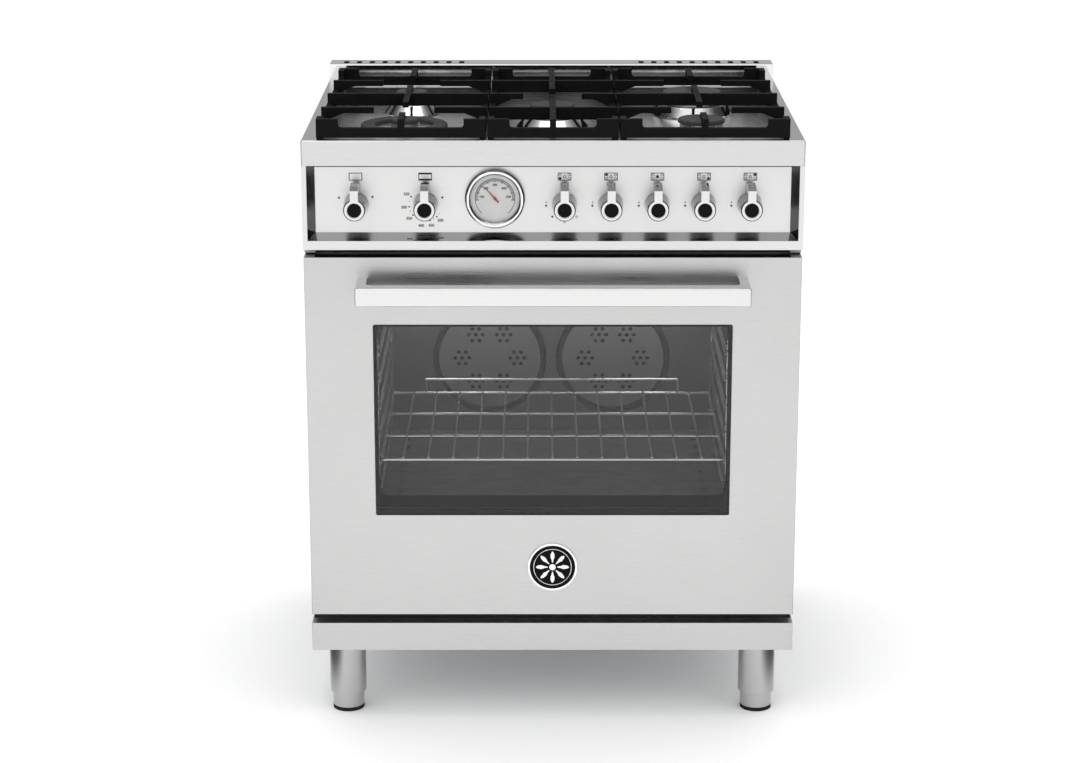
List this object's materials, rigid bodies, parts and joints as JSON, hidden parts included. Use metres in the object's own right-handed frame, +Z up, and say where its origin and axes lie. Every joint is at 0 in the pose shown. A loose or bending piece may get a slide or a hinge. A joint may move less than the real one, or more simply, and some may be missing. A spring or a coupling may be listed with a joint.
{
  "type": "freestanding gas range",
  "caption": "Freestanding stainless gas range with a drop-down oven door, cast hob grates, lever knobs, a round temperature gauge and adjustable legs.",
  "frame": {"origin": "on the floor, under the middle of the whole range", "axes": "+Z up, -Y towards the person at the controls, +X to that person's right"},
  "size_m": [0.759, 0.706, 0.965],
  "materials": {
    "brushed_steel": "fine horizontal grain, satin",
    "polished_steel": "bright, almost mirror",
    "side_paint": "smooth satin grey",
    "galvanised": "zinc coated, matt",
    "enamel_dark": "vitreous enamel, gloss",
    "mineral_wool": "matt fibre",
    "steel_tube": "plain drawn steel",
    "chrome_wire": "bright plated wire",
    "gasket_fibre": "woven fibre",
    "dark_glass": "smoked, gloss",
    "clear_glass": "clear, gloss",
    "chrome": "mirror",
    "brass": "machined",
    "dial_grey": "printed satin",
    "needle_red": "satin",
    "cast_alloy": "cast, fine blasted",
    "cap_black": "matt enamel",
    "knob_metal": "satin, bevelled edges",
    "cast_iron": "matt black, fine cast texture"
  },
  "bodies": {
    "cabinet": {"backguard": "brushed_steel", "base_pan": "galvanised", "burner_caps": "cap_black", "burner_cups": "polished_steel", "burner_heads": "cast_alloy", "control_panel": "brushed_steel", "fan_covers": "enamel_dark", "fan_motors": "galvanised", "fascia": "polished_steel", "front_frame": "enamel_dark", "gas_manifold": "steel_tube", "gas_valves": "brass", "gauge_bezel": "chrome", "gauge_dial": "dial_grey", "gauge_glass": "clear_glass", "hinge_brackets": "steel_tube", "insulation": "mineral_wool", "leg_sleeves": "brushed_steel", "oven_burners": "steel_tube", "oven_floor": "enamel_dark", "oven_gasket": "gasket_fibre", "oven_liner": "enamel_dark", "plinth": "brushed_steel", "rack_ladders": "chrome_wire", "rear_panel": "galvanised", "side_panel_left": "side_paint", "side_panel_right": "side_paint", "worktop": "brushed_steel"},
    "door": {"door_skin": "brushed_steel", "door_core": "mineral_wool", "door_glass_outer": "dark_glass", "door_inner_panel": "enamel_dark", "door_glass_inner": "dark_glass", "hinge_arms": "steel_tube", "door_handle": "brushed_steel", "badge": "chrome"},
    "rack": {"oven_rack": "chrome_wire"},
    "fan_left": {"fan_left": "steel_tube"},
    "fan_right": {"fan_right": "steel_tube"},
    "grate_left": {"grate_left": "cast_iron"},
    "grate_centre": {"grate_centre": "cast_iron"},
    "grate_right": {"grate_right": "cast_iron"},
    "needle": {"gauge_needle": "needle_red"},
    "knob_1": {"knob_1": "knob_metal"},
    "knob_2": {"knob_2": "knob_metal"},
    "knob_3": {"knob_3": "knob_metal"},
    "knob_4": {"knob_4": "knob_metal"},
    "knob_5": {"knob_5": "knob_metal"},
    "knob_6": {"knob_6": "knob_metal"},
    "knob_7": {"knob_7": "knob_metal"},
    "stem_2": {"stem_2": "steel_tube"},
    "stem_3": {"stem_3": "steel_tube"},
    "stem_4": {"stem_4": "steel_tube"},
    "stem_5": {"stem_5": "steel_tube"},
    "stem_6": {"stem_6": "steel_tube"},
    "stem_7": {"stem_7": "steel_tube"},
    "foot_front_left": {"foot_front_left": "brushed_steel"},
    "foot_front_right": {"foot_front_right": "brushed_steel"},
    "foot_rear_left": {"foot_rear_left": "brushed_steel"},
    "foot_rear_right": {"foot_rear_right": "brushed_steel"}
  },
  "joints": [
    {"name": "door_hinge", "type": "hinge", "parent": "cabinet", "child": "door", "pos_m": [0, -0.263, 0.187], "axis": [1, 0, 0], "range_deg": [0, 90], "stiffness_Nm_per_rad": 16, "springref_deg": -20.05},
    {"name": "rack_slide", "type": "slide", "parent": "cabinet", "child": "rack", "axis": [0, -1, 0], "range_m": [0, 0.3]},
    {"name": "turn_1_mode", "type": "hinge", "parent": "cabinet", "child": "knob_1", "pos_m": [-0.299, -0.283, 0.8316], "axis": [0, 1, 0], "range_deg": [-65, 65]},
    {"name": "push_2_thermostat", "type": "slide", "parent": "cabinet", "child": "stem_2", "axis": [0, 1, 0], "range_m": [0, 0.003], "stiffness_N_per_m": 1500, "springref_m": -0.002},
    {"name": "turn_2_thermostat", "type": "hinge", "parent": "stem_2", "child": "knob_2", "pos_m": [-0.19347, -0.283, 0.8316], "axis": [0, 1, 0], "range_deg": [-294, 0]},
    {"name": "push_3_front_left", "type": "slide", "parent": "cabinet", "child": "stem_3", "axis": [0, 1, 0], "range_m": [0, 0.003], "stiffness_N_per_m": 1500, "springref_m": -0.002},
    {"name": "turn_3_front_left", "type": "hinge", "parent": "stem_3", "child": "knob_3", "pos_m": [0.01759, -0.283, 0.8316], "axis": [0, 1, 0], "range_deg": [-230, 0]},
    {"name": "push_4_rear_left", "type": "slide", "parent": "cabinet", "child": "stem_4", "axis": [0, 1, 0], "range_m": [0, 0.003], "stiffness_N_per_m": 1500, "springref_m": -0.002},
    {"name": "turn_4_rear_left", "type": "hinge", "parent": "stem_4", "child": "knob_4", "pos_m": [0.08794, -0.283, 0.8316], "axis": [0, 1, 0], "range_deg": [-210, 0]},
    {"name": "push_5_centre", "type": "slide", "parent": "cabinet", "child": "stem_5", "axis": [0, 1, 0], "range_m": [0, 0.003], "stiffness_N_per_m": 1500, "springref_m": -0.002},
    {"name": "turn_5_centre", "type": "hinge", "parent": "stem_5", "child": "knob_5", "pos_m": [0.15829, -0.283, 0.8316], "axis": [0, 1, 0], "range_deg": [-210, 0]},
    {"name": "push_6_front_right", "type": "slide", "parent": "cabinet", "child": "stem_6", "axis": [0, 1, 0], "range_m": [0, 0.003], "stiffness_N_per_m": 1500, "springref_m": -0.002},
    {"name": "turn_6_front_right", "type": "hinge", "parent": "stem_6", "child": "knob_6", "pos_m": [0.22865, -0.283, 0.8316], "axis": [0, 1, 0], "range_deg": [-210, 0]},
    {"name": "push_7_rear_right", "type": "slide", "parent": "cabinet", "child": "stem_7", "axis": [0, 1, 0], "range_m": [0, 0.003], "stiffness_N_per_m": 1500, "springref_m": -0.002},
    {"name": "turn_7_rear_right", "type": "hinge", "parent": "stem_7", "child": "knob_7", "pos_m": [0.299, -0.283, 0.8316], "axis": [0, 1, 0], "range_deg": [-210, 0]},
    {"name": "gauge_swing", "type": "hinge", "parent": "cabinet", "child": "needle", "pos_m": [-0.08794, -0.283, 0.8421], "axis": [0, 1, 0], "range_deg": [-50, 132]},
    {"name": "fan_left_spin", "type": "hinge", "parent": "cabinet", "child": "fan_left", "pos_m": [-0.107, 0.247, 0.4544], "axis": [0, 1, 0], "continuous": true},
    {"name": "fan_right_spin", "type": "hinge", "parent": "cabinet", "child": "fan_right", "pos_m": [0.107, 0.247, 0.4544], "axis": [0, 1, 0], "continuous": true},
    {"name": "grate_left_lift", "type": "slide", "parent": "cabinet", "child": "grate_left", "axis": [0, 0, 1], "range_m": [0, 0.12]},
    {"name": "grate_centre_lift", "type": "slide", "parent": "cabinet", "child": "grate_centre", "axis": [0, 0, 1], "range_m": [0, 0.12]},
    {"name": "grate_right_lift", "type": "slide", "parent": "cabinet", "child": "grate_right", "axis": [0, 0, 1], "range_m": [0, 0.12]},
    {"name": "foot_front_left_screw", "type": "slide", "parent": "cabinet", "child": "foot_front_left", "axis": [0, 0, -1], "range_m": [0, 0.019]},
    {"name": "foot_front_right_screw", "type": "slide", "parent": "cabinet", "child": "foot_front_right", "axis": [0, 0, -1], "range_m": [0, 0.019]},
    {"name": "foot_rear_left_screw", "type": "slide", "parent": "cabinet", "child": "foot_rear_left", "axis": [0, 0, -1], "range_m": [0, 0.019]},
    {"name": "foot_rear_right_screw", "type": "slide", "parent": "cabinet", "child": "foot_rear_right", "axis": [0, 0, -1], "range_m": [0, 0.019]}
  ],
  "couplings": [
    {"joint": "rack_slide", "follows": "door_hinge", "m_per_rad": 0.19}
  ]
}
